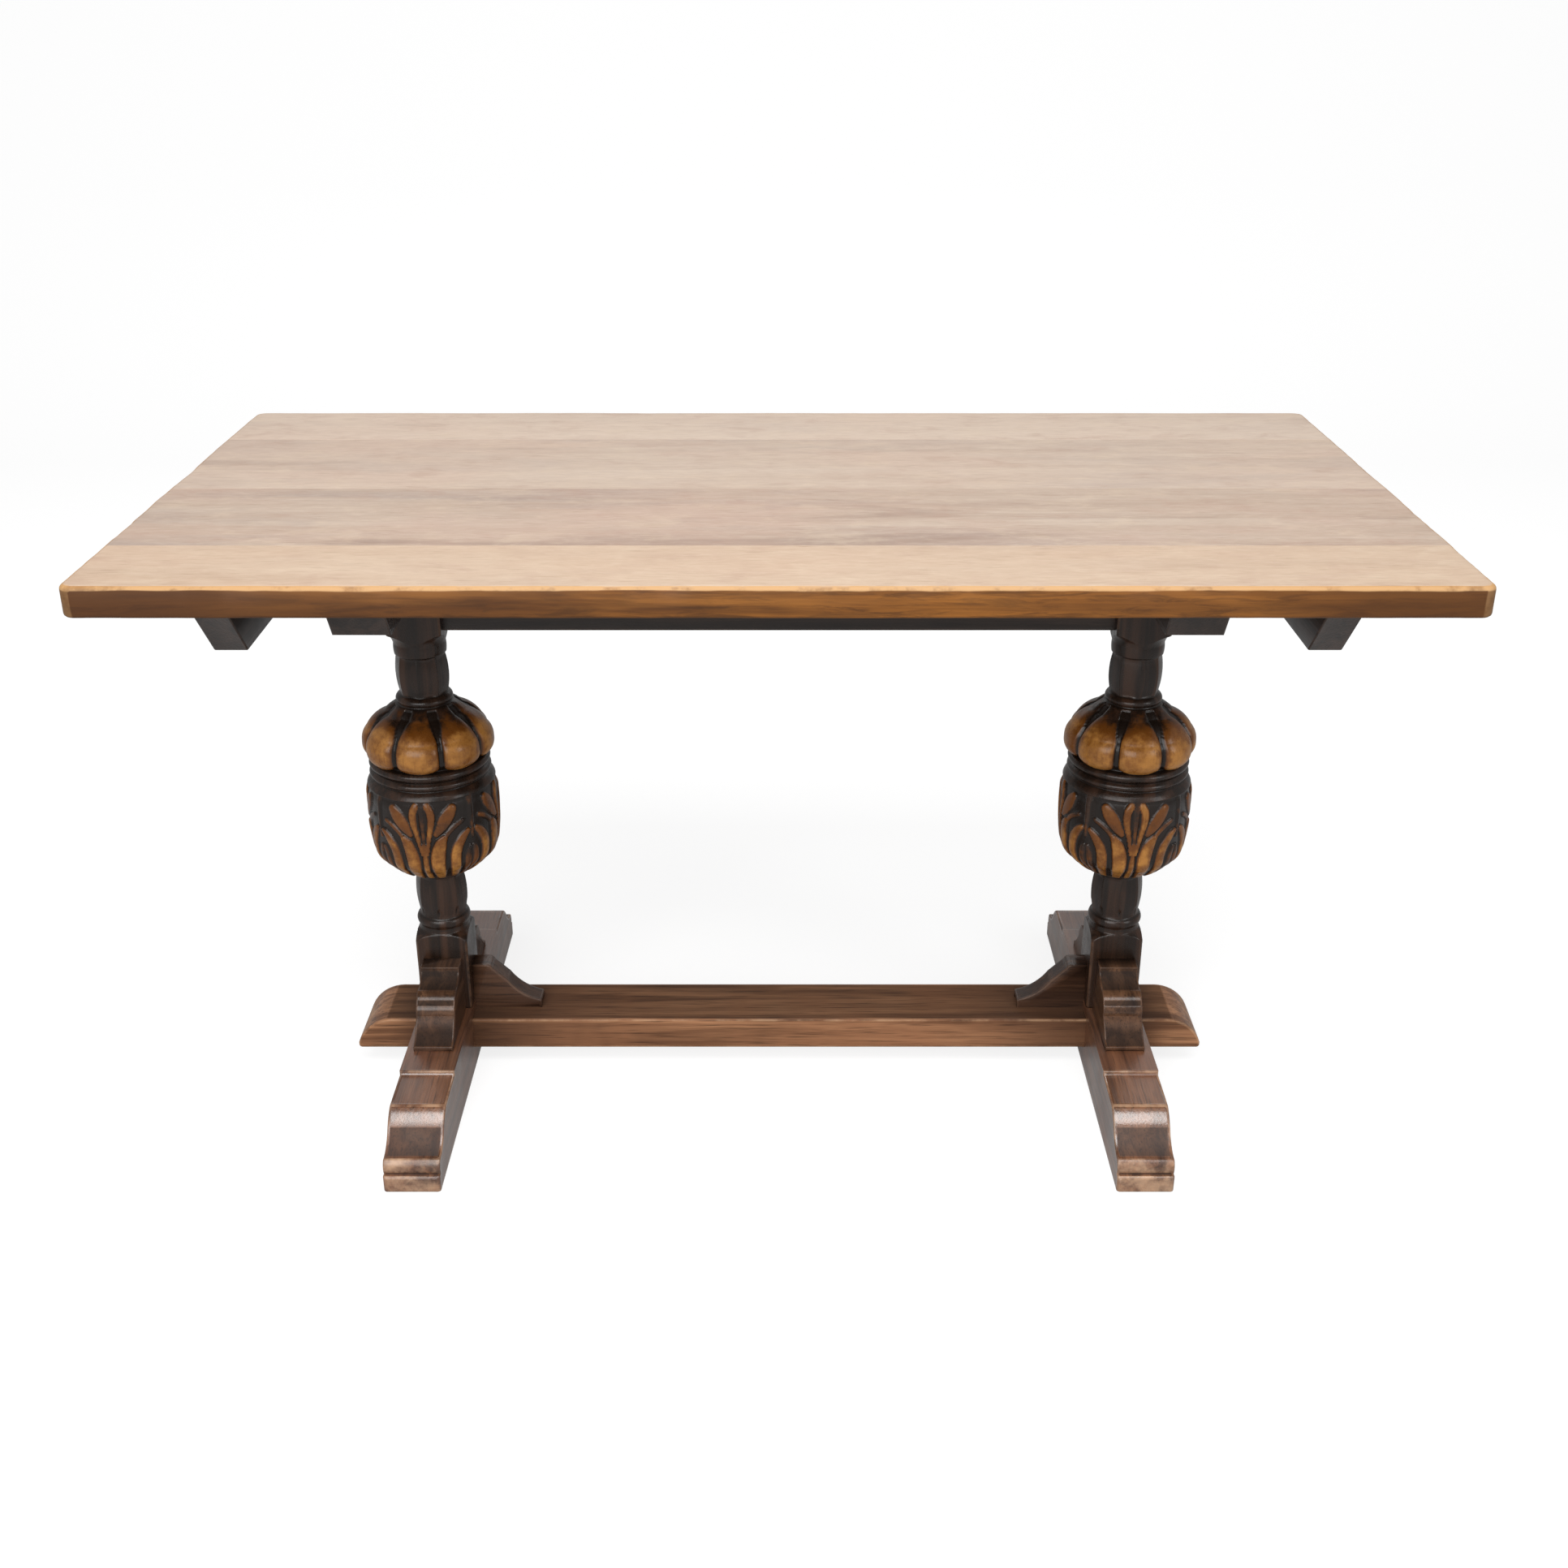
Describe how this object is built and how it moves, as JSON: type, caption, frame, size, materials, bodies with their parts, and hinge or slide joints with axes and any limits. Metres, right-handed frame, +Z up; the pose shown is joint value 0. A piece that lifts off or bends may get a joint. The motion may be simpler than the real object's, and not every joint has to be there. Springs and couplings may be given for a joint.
{
  "type": "refectory table",
  "caption": "Long oak refectory table with a plank top on turned cup-and-cover legs with gadrooned bulbs, sledge feet and a low plank stretcher.",
  "frame": {"origin": "on the floor below the middle of the top", "axes": "+Z up, +X along the table to its right end, -Y towards the front"},
  "size_m": [1.372, 0.724, 0.75],
  "materials": {
    "top_oak": "waxed and worn",
    "base_oak": "dark stained and waxed",
    "carved_oak": "carved, dark stained and rubbed back on the high places",
    "dowel_oak": "plain",
    "screw_steel": "dull"
  },
  "bodies": {
    "root": {"top_board_front": "top_oak", "top_board_front_middle": "top_oak", "top_board_rear_middle": "top_oak", "top_board_rear": "top_oak", "top_board_dowels": "dowel_oak", "end_cleat_left": "base_oak", "end_cleat_right": "base_oak", "end_cleat_screws": "screw_steel", "bearer_left": "base_oak", "bearer_right": "base_oak", "bearer_screws": "screw_steel", "top_rail": "base_oak", "leg_left": "carved_oak", "leg_right": "carved_oak", "foot_left": "base_oak", "foot_right": "base_oak", "stretcher": "base_oak", "foot_bracket_left_front": "base_oak", "foot_bracket_left_rear": "base_oak", "foot_bracket_right_front": "base_oak", "foot_bracket_right_rear": "base_oak", "foot_bracket_dowels": "dowel_oak", "stretcher_bracket_left": "base_oak", "stretcher_bracket_right": "base_oak", "stretcher_bracket_dowels": "dowel_oak"}
  },
  "joints": []
}
